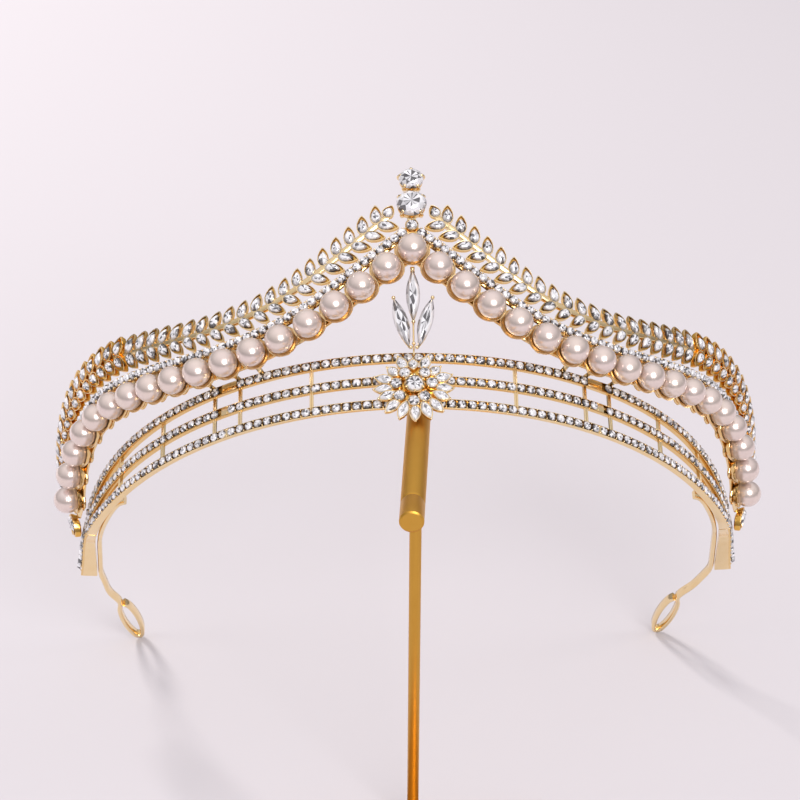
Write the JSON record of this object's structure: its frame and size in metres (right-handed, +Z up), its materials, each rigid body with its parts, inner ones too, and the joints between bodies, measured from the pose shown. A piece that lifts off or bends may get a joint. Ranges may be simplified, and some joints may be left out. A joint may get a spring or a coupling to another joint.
{
  "type": "tiara on a display stand",
  "caption": "Gold tiara with cut-stone rows, a scalloped line of pearls, laurel branches, a flower and a finial, on a small T-bar display stand.",
  "frame": {"origin": "underside of the stand's foot, below the axis of its pole", "axes": "+X along the tiara's width, to the viewer's right; +Y to the back, where the band's ends are; +Z up"},
  "size_m": [0.16, 0.113, 0.1388],
  "materials": {
    "gold": "polished, warm gold plating",
    "stand": "satin gold lacquer",
    "pearl": "pearl lustre",
    "crystal": "faceted, foiled behind"
  },
  "bodies": {
    "root": {"band": "gold", "crystal_row": "crystal", "end_wire_left": "gold", "end_wire_right": "gold", "finial_setting": "gold", "finial_stone_lower": "crystal", "finial_stone_upper": "crystal", "flower": "gold", "flower_stone": "crystal", "laurel_left": "gold", "laurel_right": "gold", "lily_frame": "gold", "lily_petal_left": "crystal", "lily_petal_middle": "crystal", "lily_petal_right": "crystal", "pearl_left_01": "pearl", "pearl_left_02": "pearl", "pearl_left_03": "pearl", "pearl_left_04": "pearl", "pearl_left_05": "pearl", "pearl_left_06": "pearl", "pearl_left_07": "pearl", "pearl_left_08": "pearl", "pearl_left_09": "pearl", "pearl_left_10": "pearl", "pearl_left_11": "pearl", "pearl_left_12": "pearl", "pearl_left_13": "pearl", "pearl_left_14": "pearl", "pearl_left_15": "pearl", "pearl_left_16": "pearl", "pearl_left_17": "pearl", "pearl_peak": "pearl", "pearl_right_01": "pearl", "pearl_right_02": "pearl", "pearl_right_03": "pearl", "pearl_right_04": "pearl", "pearl_right_05": "pearl", "pearl_right_06": "pearl", "pearl_right_07": "pearl", "pearl_right_08": "pearl", "pearl_right_09": "pearl", "pearl_right_10": "pearl", "pearl_right_11": "pearl", "pearl_right_12": "pearl", "pearl_right_13": "pearl", "pearl_right_14": "pearl", "pearl_right_15": "pearl", "pearl_right_16": "pearl", "pearl_right_17": "pearl", "pearl_strip": "gold", "stand_arm": "stand", "stand_foot": "stand", "stand_pole": "stand"}
  },
  "joints": []
}
